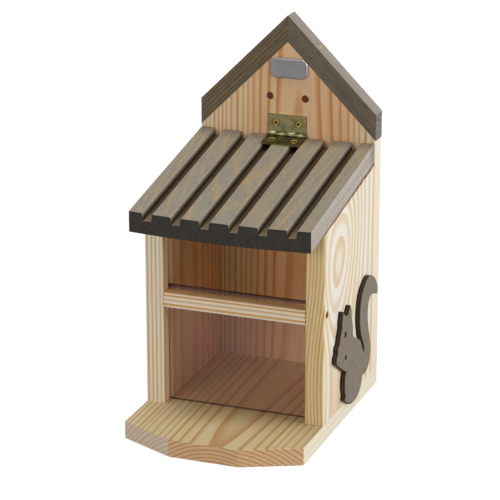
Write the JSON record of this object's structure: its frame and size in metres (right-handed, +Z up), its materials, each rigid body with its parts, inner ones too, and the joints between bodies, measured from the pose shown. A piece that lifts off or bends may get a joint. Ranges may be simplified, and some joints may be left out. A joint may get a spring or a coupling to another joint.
{
  "type": "squirrel feeder",
  "caption": "Wooden squirrel feeder: open-fronted feed box with a landing board, a clear feed pane, a hinged grooved lid and a gabled back panel with wall holes.",
  "frame": {"origin": "middle of the base board's underside, in the middle plane of the house", "axes": "+Z up, +Y towards the wall behind the back panel, -Y towards the landing, +X to the side that carries the squirrel figure"},
  "size_m": [0.1795, 0.237, 0.3613],
  "materials": {
    "pine": "planed, untreated",
    "warm_pine": "planed, untreated",
    "grey_stain": "grey-brown stain",
    "grey_plywood": "grey-brown stain, laser-cut edges",
    "plate_metal": "satin",
    "adhesive": "foam pad",
    "clear_acrylic": "clear",
    "yellow_zinc": "yellow passivated zinc",
    "screw_steel": "yellow passivated zinc"
  },
  "bodies": {
    "house": {"base_board": "pine", "left_side_panel": "pine", "right_side_panel": "pine", "back_panel": "warm_pine", "front_rail": "pine", "left_gable_cap": "grey_stain", "right_gable_cap": "grey_stain", "squirrel_figure": "grey_plywood", "gable_plate": "plate_metal", "plate_adhesive_pad": "adhesive", "hinge_fixed_leaf": "yellow_zinc", "hinge_pin": "screw_steel", "fixed_leaf_screws": "screw_steel", "base_screws": "screw_steel", "back_panel_screws": "screw_steel", "rail_screws": "screw_steel", "gable_staples": "screw_steel"},
    "lid": {"lid_board": "grey_stain", "hinge_lid_leaf": "yellow_zinc", "lid_leaf_screws": "screw_steel"},
    "pane": {"feed_pane": "clear_acrylic"}
  },
  "joints": [
    {"name": "lid_hinge", "type": "hinge", "parent": "house", "child": "lid", "pos_m": [0, 0.0979, 0.2469], "axis": [-1, 0, 0], "range_deg": [0, 98]},
    {"name": "pane_slide", "type": "slide", "parent": "house", "child": "pane", "axis": [0, 0, 1], "range_m": [0, 0.07]}
  ]
}
